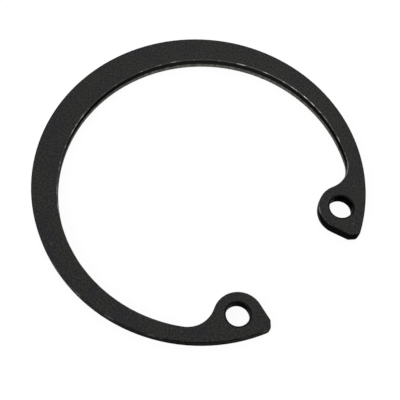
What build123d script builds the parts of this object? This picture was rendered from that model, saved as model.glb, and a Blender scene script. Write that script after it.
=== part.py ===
"""Wrist pin retainer: an internal retaining ring, blanked flat from spring steel in one piece.

The ring sits in a groove at the end of a piston's pin bore and stops the pin from working out. It is open at
one side. Its band is widest opposite the gap and narrows towards it, because the inner edge is a circle set
towards the gap, so the ring bends evenly when it is squeezed. Each end is a lug that reaches inwards, with a
hole for the tip of the pliers.

Origin: centre of the outer edge, on the lower face. +X: middle of the gap. +Z: upwards, towards the face whose
edges were rolled over by the press. All lengths in mm, all angles in degrees.
"""

import os
from math import acos, atan2, cos, degrees, dist, radians, sin

from build123d import *

# Ring, relaxed: it closes by 2.8 mm to pass into a 35 mm bore
free_diameter = 37.8
thickness = 1.6

# Band: its radial width opposite the gap, and the width it would reach in the middle of the gap
back_width = 3.27
gap_width = 1.27

# Lugs, one each side of the gap: a round nose, and the concave neck that leads from the band into it
lug_height = 5.14
nose_radius = 2.72
nose_angle = 32.1
neck_radius = 3.05

# Blunt end of each lug: where it meets the outer edge, its length and its direction
end_angle = 23.2
end_length = 1.0
end_slope = 47.0
flank_corner_radius = 0.3
tip_corner_radius = 0.38

# Plier holes
hole_diameter = 2.6
hole_inset = 2.63

# Edges left by blanking: rolled over on top, broken away a little at the foot of the wall
roll_radius = 0.12
break_height = 0.5
break_depth = 0.06

outer_radius = free_diameter / 2
inner_radius = outer_radius - (back_width + gap_width) / 2
inner_offset = (back_width - gap_width) / 2
nose_distance = outer_radius - lug_height + nose_radius
hole_distance = outer_radius - hole_inset


def polar(distance, angle):
    """Point at this distance from the origin and this angle from the middle of the gap."""
    return distance * cos(radians(angle)), distance * sin(radians(angle))


def away(start, distance, angle):
    """Point at this distance from another one, in this direction."""
    step = polar(distance, angle)
    return start[0] + step[0], start[1] + step[1]


def lug_outline():
    """The lug at +Y: a round nose, a straight flank that leaves it at a tangent, and the blunt end."""
    nose_centre = polar(nose_distance, nose_angle)
    tip = polar(outer_radius, end_angle)
    flank_end = away(tip, end_length, end_slope + 180)
    to_end = degrees(atan2(flank_end[1] - nose_centre[1], flank_end[0] - nose_centre[0]))
    opening = degrees(acos(nose_radius / dist(nose_centre, flank_end)))
    flank_start = away(nose_centre, nose_radius, to_end - opening)
    beyond_tip = away(tip, end_length, end_slope)
    beyond_nose = polar(outer_radius + lug_height, nose_angle)
    body = make_face(Polyline(nose_centre, flank_start, flank_end, beyond_tip, beyond_nose, close=True))
    lug = (body + Pos(*nose_centre) * Circle(nose_radius)) & Circle(outer_radius)
    lug = fillet(lug.vertices().sort_by_distance(flank_end)[0], flank_corner_radius)
    return fillet(lug.vertices().sort_by_distance(tip)[0], tip_corner_radius)


def ring_outline():
    """The whole flat outline, with its two plier holes."""
    band = Circle(outer_radius) - Pos(inner_offset, 0) * Circle(inner_radius)
    gap = make_face(
        Polyline(
            (0, 0),
            polar(2 * outer_radius, -nose_angle),
            (2 * outer_radius, 0),
            polar(2 * outer_radius, nose_angle),
            close=True,
        )
    )
    lug = lug_outline()
    outline = band - gap + lug + mirror(lug, about=Plane.XZ)

    necks = outline.vertices().sort_by(Axis.X)[:2]
    outline = fillet(necks, neck_radius)
    for side in (1, -1):
        outline -= Pos(*polar(hole_distance, side * nose_angle)) * Circle(hole_diameter / 2)
    return outline


def blank(outline):
    """The outline stamped through the strip: rolled-over upper edges, broken-away foot."""
    ring = extrude(outline, thickness)
    ring = fillet(ring.faces().sort_by(Axis.Z)[-1].edges(), roll_radius)
    foot = ring.faces().sort_by(Axis.Z)[0]
    return chamfer(foot.edges(), break_depth, break_height, reference=foot)


retaining_ring = blank(ring_outline())
retaining_ring.label = "retaining_ring"

os.makedirs("parts", exist_ok=True)
export_step(retaining_ring, "parts/retaining_ring.step")
print("volume", round(retaining_ring.volume, 2), "mm3")
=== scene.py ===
"""Looks of a wrist pin retaining ring: black phosphated spring steel on a white studio table.

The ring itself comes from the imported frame. This file gives it its finish, and adds the table, the lights
and the camera. Places and sizes are written in millimetres and turned to metres where Blender needs them.
"""

import logging
import math
from dataclasses import dataclass
from enum import Enum

import bpy
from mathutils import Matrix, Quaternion, Vector

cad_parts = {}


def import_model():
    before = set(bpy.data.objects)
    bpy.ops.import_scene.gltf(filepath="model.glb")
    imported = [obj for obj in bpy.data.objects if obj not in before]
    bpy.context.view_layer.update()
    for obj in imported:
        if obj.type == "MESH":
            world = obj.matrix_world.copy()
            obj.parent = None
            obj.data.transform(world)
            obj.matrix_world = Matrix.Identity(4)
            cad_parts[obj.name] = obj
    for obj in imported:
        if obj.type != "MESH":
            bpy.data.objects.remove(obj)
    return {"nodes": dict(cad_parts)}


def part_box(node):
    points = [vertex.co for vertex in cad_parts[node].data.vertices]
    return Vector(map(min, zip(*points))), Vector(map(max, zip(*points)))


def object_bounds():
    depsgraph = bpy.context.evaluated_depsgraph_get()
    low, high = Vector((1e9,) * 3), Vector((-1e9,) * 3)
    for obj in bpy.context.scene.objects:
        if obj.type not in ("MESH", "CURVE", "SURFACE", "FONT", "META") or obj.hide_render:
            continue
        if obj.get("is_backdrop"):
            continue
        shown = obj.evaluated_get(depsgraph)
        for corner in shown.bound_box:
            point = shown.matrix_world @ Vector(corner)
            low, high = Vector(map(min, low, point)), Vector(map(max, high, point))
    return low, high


LOG = logging.getLogger("retaining_ring")
MM = 0.001
RING_NODE = "retaining_ring"
STEEL_SLOT = "spring_steel"


class Zone(Enum):
    """The surfaces of a blanked ring that differ in their coat, and two places that carry painted light and
    shade: the inside of the band and the rings around the holes.

    What is neither face nor wall is the rolled-over edge between them.
    """

    FACE = "face"
    WALL = "wall"
    BROKEN_FOOT = "broken_foot"
    BAND_INSIDE = "band_inside"
    HOLE_EDGE = "hole_rim_shade"


def linear(hex_colour: str) -> tuple[float, float, float, float]:
    """Turns an sRGB colour to the linear one that Blender's sockets take.

    Args:
        hex_colour: Six hex digits, such as "2e2e2d".

    Returns:
        Red, green, blue and an alpha of 1.
    """
    values = []
    for start in (0, 2, 4):
        share = int(hex_colour[start:start + 2], 16) / 255
        values.append(share / 12.92 if share <= 0.04045 else ((share + 0.055) / 1.055) ** 2.4)
    return values[0], values[1], values[2], 1.0


def add_node(tree: bpy.types.NodeTree, kind: str, settings: dict | None = None,
             **links) -> bpy.types.Node:
    """Adds one shader node with its settings, and fills its inputs.

    Args:
        tree: The material's node tree.
        kind: Blender's name for the node, such as "ShaderNodeMath".
        settings: Attribute names and their values.
        **links: Input name or _index to a value, or to a socket that is linked to it.

    Returns:
        The new node.
    """
    node = tree.nodes.new(kind)
    for name, value in (settings or {}).items():
        setattr(node, name, value)
    for name, value in links.items():
        key = int(name[1:]) if name.startswith("_") else name.replace("_", " ")
        socket = node.inputs[key]
        if isinstance(value, bpy.types.NodeSocket):
            tree.links.new(value, socket)
        else:
            socket.default_value = value
    return node


@dataclass(frozen=True)
class PhosphatedSpringSteel:
    """Blanked spring steel, phosphated black and oiled: a thin crystal coat that leaves the surface matt.

    The flat face is an even charcoal with a fine grain and a faint olive and blue cast. The rolled-over edge
    is rubbed thin here and there; its colour also holds painted glints, a painted highlight along the inside
    of the band and painted shade, darker than the face, elsewhere. The sheared wall below it is smooth and
    nearly black. The foot, where the steel broke away, is rough; along the inside of the band it is painted
    paler, which is partly the pale break and partly a painted reflection of the white table. Around each
    hole a black ring of painted shade is laid on the face. Heights and pattern sizes are in millimetres, and
    ranges are shares of a noise's value.
    Real phosphate crystals are too fine to show, so the crystals and the grain are drawn as coarse as they
    need to be seen. The foot is drawn a little higher than the chamfer of the solid, and the holes' rims a
    little wider than its rolled edge.
    """

    thickness: float
    roll_radius: float = 0.12
    face_fade: tuple[float, float] = (0.25, 0.02)
    wall_fade: tuple[float, float] = (1.0, 0.75)
    foot_height: float = 0.68
    foot_softness: float = 0.12
    raggedness: float = 0.22
    tear_width: float = 0.5
    tear_stretch: tuple[float, float, float] = (1.0, 1.0, 0.15)
    face_dark: str = "1c1c1c"
    face_light: str = "313130"
    olive_cast: str = "2b2a26"
    blue_cast: str = "23242a"
    cast_share: float = 0.4
    speck: str = "5c5b58"
    # Edge colours: the rolled edge is painted lighter along the inside of the band, a painted highlight, and
    # darker than the face elsewhere, painted shade. The rubbed spots are wear that also holds painted
    # glints.
    edge_coat_and_shade: str = "101010"
    edge_coat_inside_and_highlight: str = "4a4946"
    rubbed_edge_and_glint: str = "545350"
    rubbed_edge_inside_and_glint: str = "a09e9a"
    sheared: str = "222221"
    sheared_inside: str = "232322"
    # The foot: pale along the inside of the band, partly the rough break and partly a painted reflection of
    # the white table; dark elsewhere.
    broken: str = "191919"
    broken_inside_and_reflection_dark: str = "4e4d4a"
    broken_inside_and_reflection_light: str = "72706c"
    # Painted shade: a black ring around each hole, wider than its rolled edge.
    hole_rim_painted_shade: str = "131313"
    crystal: float = 0.14
    grain: float = 0.2
    cast: float = 2.4
    rub_and_glint: float = 1.3
    chatter: float = 0.3
    chatter_stretch: tuple[float, float, float] = (1.0, 1.0, 0.3)
    speck_spacing: float = 0.9
    speck_size: tuple[float, float] = (0.05, 0.1)
    speck_choice: tuple[float, float] = (0.72, 0.9)
    grain_range: tuple[float, float] = (0.3, 0.7)
    rub_and_glint_range: tuple[float, float] = (0.5, 0.68)
    olive_range: tuple[float, float] = (0.5, 0.7)
    blue_range: tuple[float, float] = (0.3, 0.5)
    # Where the inside of the band lies, which takes the painted highlight on the edge and the painted
    # reflection on the foot.
    inside_radius: float = 17.8
    inside_softness: float = 0.2
    lugs_from: float = 11.0
    lugs_fade: float = 3.0
    # Where the ring of painted shade around each hole lies.
    hole_place: tuple[float, float] = (13.783, 8.646)
    hole_rim_radius: float = 1.52
    hole_rim_softness: float = 0.06
    wall_roughness: float = 0.38
    face_roughness_gain: float = 0.17
    foot_roughness_gain: float = 0.25
    bump_depth: float = 0.0025
    tear_depth: float = 6.0
    specular_tint: tuple[float, float, float, float] = (0.35, 0.35, 0.35, 1.0)

    def make(self) -> bpy.types.Material:
        """Builds the material.

        Returns:
            A material with one Principled shader, coloured by zone.
        """
        material = bpy.data.materials.new("phosphated_spring_steel")
        material.use_nodes = True
        tree = material.node_tree
        tree.nodes.clear()
        place = add_node(tree, "ShaderNodeTexCoord").outputs["Object"]
        height = add_node(tree, "ShaderNodeSeparateXYZ", None, Vector=place).outputs["Z"]
        masks = self.masks(tree, place, height)
        colour = self.colour(tree, place, masks)
        rough = self.roughness(tree, masks)
        shader = add_node(
            tree,
            "ShaderNodeBsdfPrincipled",
            None,
            Base_Color=colour,
            Metallic=1.0,
            Roughness=rough,
            Specular_Tint=self.specular_tint,
            Normal=self.relief(tree, place, masks),
        )
        add_node(tree, "ShaderNodeOutputMaterial", None, Surface=shader.outputs["BSDF"])
        return material

    def noise(self, tree: bpy.types.NodeTree, place: bpy.types.NodeSocket, size: float, detail: float = 2.0,
              stretch: tuple[float, float, float] = (1.0, 1.0, 1.0)) -> bpy.types.NodeSocket:
        """Adds a noise of one real size.

        Args:
            tree: The material's node tree.
            place: The coordinate to read.
            size: How far apart its lumps are, in millimetres.
            detail: How many finer octaves it has.
            stretch: The scale of the coordinate along X, Y and Z.

        Returns:
            The noise's value, from 0 to 1.
        """
        mapped = add_node(tree, "ShaderNodeMapping", {"vector_type": "POINT"}, Vector=place, Scale=stretch)
        made = add_node(tree, "ShaderNodeTexNoise", None, Vector=mapped.outputs["Vector"],
                        Scale=1 / (size * MM), Detail=detail)
        return made.outputs["Fac"]

    def ramp(self, tree: bpy.types.NodeTree, value: bpy.types.NodeSocket, low: float, high: float,
             to_low: float = 0.0, to_high: float = 1.0) -> bpy.types.NodeSocket:
        """Maps a value smoothly between two ends.

        Args:
            tree: The material's node tree.
            value: The value to map.
            low: Where the ramp starts.
            high: Where it ends.
            to_low: What it gives at its start.
            to_high: What it gives at its end.

        Returns:
            The mapped value.
        """
        made = add_node(tree, "ShaderNodeMapRange", {"interpolation_type": "SMOOTHSTEP"}, Value=value,
                        From_Min=low, From_Max=high, To_Min=to_low, To_Max=to_high)
        return made.outputs["Result"]

    def mix(self, tree: bpy.types.NodeTree, share: bpy.types.NodeSocket, under: object,
            over: object) -> bpy.types.NodeSocket:
        """Mixes two colours.

        Args:
            tree: The material's node tree.
            share: How much of the second colour shows.
            under: The first colour or its socket.
            over: The second colour or its socket.

        Returns:
            The mixed colour.
        """
        made = add_node(tree, "ShaderNodeMix", {"data_type": "RGBA"}, _0=share, _6=under, _7=over)
        return made.outputs[2]

    def masks(self, tree: bpy.types.NodeTree, place: bpy.types.NodeSocket,
              height: bpy.types.NodeSocket) -> dict[Zone, bpy.types.NodeSocket]:
        """Finds the zones by their height above the lower face and their place on the ring.

        Args:
            tree: The material's node tree.
            place: The object coordinate.
            height: Its Z part, in metres.

        Returns:
            For each zone, how much of it shows, from 0 to 1.
        """
        top = self.thickness * MM
        roll = self.roll_radius * MM
        above_roll = self.ramp(tree, height, top - self.face_fade[0] * roll, top - self.face_fade[1] * roll)
        below_roll = self.ramp(tree, height, top - self.wall_fade[0] * roll, top - self.wall_fade[1] * roll,
                               1.0, 0.0)
        ragged = self.noise(tree, place, self.tear_width, 4.0, self.tear_stretch)
        wander = add_node(tree, "ShaderNodeMath", {"operation": "MULTIPLY_ADD"}, _0=ragged,
                          _1=-self.raggedness * MM, _2=height)
        lift = (self.foot_height - self.raggedness / 2) * MM
        soft = self.foot_softness * MM
        foot = self.ramp(tree, wander.outputs[0], lift - soft, lift + soft, 1.0, 0.0)
        return {
            Zone.FACE: above_roll,
            Zone.WALL: below_roll,
            Zone.BROKEN_FOOT: foot,
            Zone.BAND_INSIDE: self.inside_band(tree, place),
            Zone.HOLE_EDGE: self.hole_rim_shade(tree, place),
        }

    def colour(self, tree: bpy.types.NodeTree, place: bpy.types.NodeSocket,
               masks: dict[Zone, bpy.types.NodeSocket]) -> bpy.types.NodeSocket:
        """Colours the coat zone by zone.

        Args:
            tree: The material's node tree.
            place: The object coordinate.
            masks: How much of each zone shows.

        Returns:
            The base colour.
        """
        grain = self.ramp(tree, self.noise(tree, place, self.grain, 4.0), *self.grain_range)
        face = self.mix(tree, grain, linear(self.face_dark), linear(self.face_light))
        cast = self.noise(tree, place, self.cast, 1.0)
        olive = self.ramp(tree, cast, *self.olive_range, 0.0, self.cast_share)
        blue = self.ramp(tree, cast, *self.blue_range, self.cast_share, 0.0)
        face = self.mix(tree, olive, face, linear(self.olive_cast))
        face = self.mix(tree, blue, face, linear(self.blue_cast))
        face = self.mix(tree, self.specks(tree, place), face, linear(self.speck))

        inside = masks[Zone.BAND_INSIDE]
        # Rubbed spots along the edge: worn coat with painted glints. The edge is painted lighter inside the
        # band, a painted highlight, and dark outside it, painted shade.
        rubbed = self.ramp(tree, self.noise(tree, place, self.rub_and_glint, 3.0), *self.rub_and_glint_range)
        coat = self.mix(tree, inside, linear(self.edge_coat_and_shade), linear(self.edge_coat_inside_and_highlight))
        bare = self.mix(tree, inside, linear(self.rubbed_edge_and_glint), linear(self.rubbed_edge_inside_and_glint))
        edge = self.mix(tree, rubbed, coat, bare)

        # The foot inside the band is painted pale: the rough break and, partly, a painted reflection of the
        # white table.
        chatter = self.ramp(tree, self.noise(tree, place, self.chatter, 3.0, self.chatter_stretch),
                            *self.grain_range)
        torn_and_reflection = self.mix(tree, chatter, linear(self.broken_inside_and_reflection_dark), linear(self.broken_inside_and_reflection_light))
        broken = self.mix(tree, inside, linear(self.broken), torn_and_reflection)
        sheared = self.mix(tree, inside, linear(self.sheared), linear(self.sheared_inside))
        wall = self.mix(tree, masks[Zone.BROKEN_FOOT], sheared, broken)

        below_face = self.mix(tree, masks[Zone.WALL], edge, wall)
        whole = self.mix(tree, masks[Zone.FACE], below_face, face)
        # Lays the black ring of painted shade around each hole.
        return self.mix(tree, masks[Zone.HOLE_EDGE], whole, linear(self.hole_rim_painted_shade))

    def specks(self, tree: bpy.types.NodeTree, place: bpy.types.NodeSocket) -> bpy.types.NodeSocket:
        """Finds the few tiny bare points of the face.

        Args:
            tree: The material's node tree.
            place: The object coordinate.

        Returns:
            A mask, 1 in the middle of a speck.
        """
        cells = add_node(tree, "ShaderNodeTexVoronoi", None, Vector=place,
                         Scale=1 / (self.speck_spacing * MM))
        near = self.ramp(tree, cells.outputs["Distance"], *self.speck_size, 1.0, 0.0)
        chosen = add_node(tree, "ShaderNodeSeparateColor", None, Color=cells.outputs["Color"])
        few = self.ramp(tree, chosen.outputs[0], *self.speck_choice)
        return add_node(tree, "ShaderNodeMath", {"operation": "MULTIPLY"}, _0=near, _1=few).outputs[0]

    def inside_band(self, tree: bpy.types.NodeTree, place: bpy.types.NodeSocket) -> bpy.types.NodeSocket:
        """Finds the inner wall of the band, away from the lugs, which takes the edge's painted highlight and
        the foot's painted reflection.

        Args:
            tree: The material's node tree.
            place: The object coordinate.

        Returns:
            A mask, 1 on that wall.
        """
        flat = add_node(tree, "ShaderNodeMapping", {"vector_type": "POINT"}, Vector=place,
                        Scale=(1.0, 1.0, 0.0))
        radius = add_node(tree, "ShaderNodeVectorMath", {"operation": "LENGTH"},
                          _0=flat.outputs["Vector"])
        inner = self.ramp(tree, radius.outputs["Value"], (self.inside_radius - self.inside_softness) * MM,
                          self.inside_radius * MM, 1.0, 0.0)
        along = add_node(tree, "ShaderNodeSeparateXYZ", None, Vector=place).outputs["X"]
        behind = self.ramp(tree, along, self.lugs_from * MM, (self.lugs_from + self.lugs_fade) * MM,
                           1.0, 0.0)
        return add_node(tree, "ShaderNodeMath", {"operation": "MULTIPLY"}, _0=inner, _1=behind).outputs[0]

    def hole_rim_shade(self, tree: bpy.types.NodeTree, place: bpy.types.NodeSocket) -> bpy.types.NodeSocket:
        """Finds the two plier holes and a ring around each, where black painted shade is laid on the face.

        Args:
            tree: The material's node tree.
            place: The object coordinate.

        Returns:
            A mask, 1 in the holes and on the ring of painted shade around them.
        """
        parts = add_node(tree, "ShaderNodeSeparateXYZ", None, Vector=place)
        folded = add_node(tree, "ShaderNodeMath", {"operation": "ABSOLUTE"}, _0=parts.outputs["Y"])
        flat = add_node(tree, "ShaderNodeCombineXYZ", None, X=parts.outputs["X"], Y=folded.outputs[0])
        centre = (self.hole_place[0] * MM, self.hole_place[1] * MM, 0.0)
        away = add_node(tree, "ShaderNodeVectorMath", {"operation": "DISTANCE"}, _0=flat.outputs[0],
                        _1=centre)
        rim = self.hole_rim_radius * MM
        return self.ramp(tree, away.outputs["Value"], rim - self.hole_rim_softness * MM, rim, 1.0, 0.0)

    def roughness(self, tree: bpy.types.NodeTree,
                  masks: dict[Zone, bpy.types.NodeSocket]) -> bpy.types.NodeSocket:
        """Roughness: matt on the face and the broken foot, smoother where the press burnished the wall.

        Args:
            tree: The material's node tree.
            masks: How much of each zone shows.

        Returns:
            The roughness.
        """
        made = add_node(tree, "ShaderNodeMath", {"operation": "MULTIPLY_ADD"}, _0=masks[Zone.FACE],
                        _1=self.face_roughness_gain, _2=self.wall_roughness)
        foot = add_node(tree, "ShaderNodeMath", {"operation": "MULTIPLY_ADD"},
                        _0=masks[Zone.BROKEN_FOOT], _1=self.foot_roughness_gain, _2=made.outputs[0])
        return foot.outputs[0]

    def relief(self, tree: bpy.types.NodeTree, place: bpy.types.NodeSocket,
               masks: dict[Zone, bpy.types.NodeSocket]) -> bpy.types.NodeSocket:
        """Bump: fine crystals all over, and coarser tears on the broken foot.

        Args:
            tree: The material's node tree.
            place: The object coordinate.
            masks: How much of each zone shows.

        Returns:
            The normal.
        """
        crystals = self.noise(tree, place, self.crystal, 3.0)
        tears = self.noise(tree, place, self.chatter, 3.0, self.chatter_stretch)
        deep = add_node(tree, "ShaderNodeMath", {"operation": "MULTIPLY"}, _0=tears,
                        _1=masks[Zone.BROKEN_FOOT])
        total = add_node(tree, "ShaderNodeMath", {"operation": "MULTIPLY_ADD"}, _0=deep.outputs[0],
                         _1=self.tear_depth, _2=crystals)
        bump = add_node(tree, "ShaderNodeBump", None, Height=total.outputs[0],
                        Distance=self.bump_depth * MM, Strength=1.0)
        return bump.outputs["Normal"]


@dataclass
class StudioTable:
    """A white table that fades into a white surround and keeps a faint shadow. Sizes in millimetres."""

    width: float = 1600.0
    drop: float = 0.01
    paper: str = "f7f7f7"
    glow: float = 0.93

    def build(self) -> bpy.types.Object:
        """Lays the table just under the ring.

        Returns:
            The table.
        """
        bpy.ops.object.select_all(action="DESELECT")
        bpy.ops.mesh.primitive_plane_add(size=self.width * MM, location=(0, 0, -self.drop * MM))
        table = bpy.context.object
        table.name = "studio_table"
        bpy.ops.object.transform_apply(location=True, rotation=True, scale=True)
        table.data.materials.append(self.white_paper())
        table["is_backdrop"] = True
        return table

    def white_paper(self) -> bpy.types.Material:
        """Matt white paper, which the camera and reflections see as nearly evenly lit.

        Returns:
            The table's material.
        """
        material = bpy.data.materials.new("matt_white_paper")
        material.use_nodes = True
        tree = material.node_tree
        tree.nodes.clear()
        path = add_node(tree, "ShaderNodeLightPath")
        seen = add_node(tree, "ShaderNodeMath", {"operation": "MAXIMUM"},
                        _0=path.outputs["Is Camera Ray"], _1=path.outputs["Is Glossy Ray"])
        share = add_node(tree, "ShaderNodeMath", {"operation": "MULTIPLY"}, _0=seen.outputs[0],
                         _1=self.glow)
        matt = add_node(tree, "ShaderNodeBsdfDiffuse", None, Color=linear(self.paper))
        white = add_node(tree, "ShaderNodeEmission", None, Color=(1, 1, 1, 1), Strength=1.0)
        both = add_node(tree, "ShaderNodeMixShader", None, _0=share.outputs[0], _1=matt.outputs[0],
                        _2=white.outputs[0])
        add_node(tree, "ShaderNodeOutputMaterial", None, Surface=both.outputs[0])
        return material


@dataclass(frozen=True)
class Softbox:
    """A square soft light that faces the ring. Degrees, millimetres and watts."""

    name: str
    bearing: float
    elevation: float
    distance: float
    width: float
    power: float

    def hang(self, target: Vector) -> None:
        """Hangs the light and turns it to the target.

        Args:
            target: The point that it faces, in metres.
        """
        light = bpy.data.lights.new(self.name, "AREA")
        light.shape = "SQUARE"
        light.size = self.width * MM
        light.energy = self.power
        lamp = bpy.data.objects.new(self.name, light)
        bpy.context.scene.collection.objects.link(lamp)
        back = direction(self.bearing, self.elevation)
        lamp.location = target + back * self.distance * MM
        lamp.rotation_mode = "QUATERNION"
        lamp.rotation_quaternion = (-back).to_track_quat("-Z", "Y")


@dataclass
class Studio:
    """The even white surround and the softboxes."""

    surround: float = 0.75
    softboxes: tuple[Softbox, ...] = (
        Softbox("softbox_front_left", -100.0, 38.0, 320.0, 170.0, 0.55),
        Softbox("softbox_behind", 120.0, 60.0, 380.0, 240.0, 0.5),
    )

    def light(self, target: Vector) -> None:
        """Sets the world's light and hangs the softboxes.

        Args:
            target: The point that they face, in metres.
        """
        world = bpy.data.worlds.new("white_surround")
        world.use_nodes = True
        tree = world.node_tree
        tree.nodes.clear()
        path = add_node(tree, "ShaderNodeLightPath")
        strength = add_node(tree, "ShaderNodeMapRange", None, Value=path.outputs["Is Camera Ray"],
                            To_Min=self.surround, To_Max=1.0)
        glow = add_node(tree, "ShaderNodeBackground", None, Color=(1, 1, 1, 1),
                        Strength=strength.outputs["Result"])
        add_node(tree, "ShaderNodeOutputWorld", None, Surface=glow.outputs[0])
        bpy.context.scene.world = world
        for softbox in self.softboxes:
            softbox.hang(target)


@dataclass(frozen=True)
class ProductCamera:
    """The photograph's view: a long lens that looks steeply down on the ring, from the side of its gap.

    Angles are in degrees and lengths in millimetres. The bearing is measured from the gap's middle.
    """

    aim: tuple[float, float, float] = (1.54, -7.85, 0.0)
    bearing: float = -46.96
    elevation: float = 68.58
    roll: float = 0.89
    distance: float = 91.47
    lens: float = 73.61
    shift: tuple[float, float] = (0.1, 0.1)

    def place(self) -> None:
        """Makes the camera and gives it to the scene."""
        data = bpy.data.cameras.new("product_camera")
        data.sensor_width = 36.0
        data.lens = self.lens
        data.shift_x, data.shift_y = self.shift
        data.clip_start, data.clip_end = 5 * MM, 5000 * MM
        camera = bpy.data.objects.new("product_camera", data)
        bpy.context.scene.collection.objects.link(camera)
        back = direction(self.bearing, self.elevation)
        camera.location = Vector(self.aim) * MM + back * self.distance * MM
        camera.rotation_mode = "QUATERNION"
        level = (-back).to_track_quat("-Z", "Y")
        camera.rotation_quaternion = Quaternion(back, math.radians(self.roll)) @ level
        bpy.context.scene.camera = camera


def direction(bearing: float, elevation: float) -> Vector:
    """Points from the ring outwards.

    Args:
        bearing: Degrees from +X towards +Y.
        elevation: Degrees above the table.

    Returns:
        A unit vector.
    """
    across = math.cos(math.radians(elevation))
    turn = math.radians(bearing)
    return Vector((math.cos(turn) * across, math.sin(turn) * across, math.sin(math.radians(elevation))))


@dataclass
class RetainingRing:
    """The ring: one blanked piece, which keeps the frame's own mesh."""

    node: bpy.types.Object
    slot: str = STEEL_SLOT

    def dress(self) -> None:
        """Gives the ring its coat."""
        low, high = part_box(self.node.name)
        steel = PhosphatedSpringSteel(thickness=(high.z - low.z) / MM)
        self.node.data.materials.clear()
        self.node.data.materials.append(steel.make())


def main() -> None:
    """Builds the scene; the frame's box gives the point that the softboxes face."""
    logging.basicConfig(level=logging.INFO, format="%(name)s: %(message)s")
    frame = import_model()
    cad_box = [list(corner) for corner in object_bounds()]
    bpy.context.scene.view_settings.view_transform = "Standard"

    ring = RetainingRing(frame["nodes"][RING_NODE])
    ring.dress()
    LOG.info("dressed %s", ring.node.name)

    StudioTable().build()
    middle = (Vector(cad_box[0]) + Vector(cad_box[1])) / 2
    Studio().light(middle)
    ProductCamera().place()
    LOG.info("set the table, the lights and the camera")


if __name__ == "__main__":
    main()
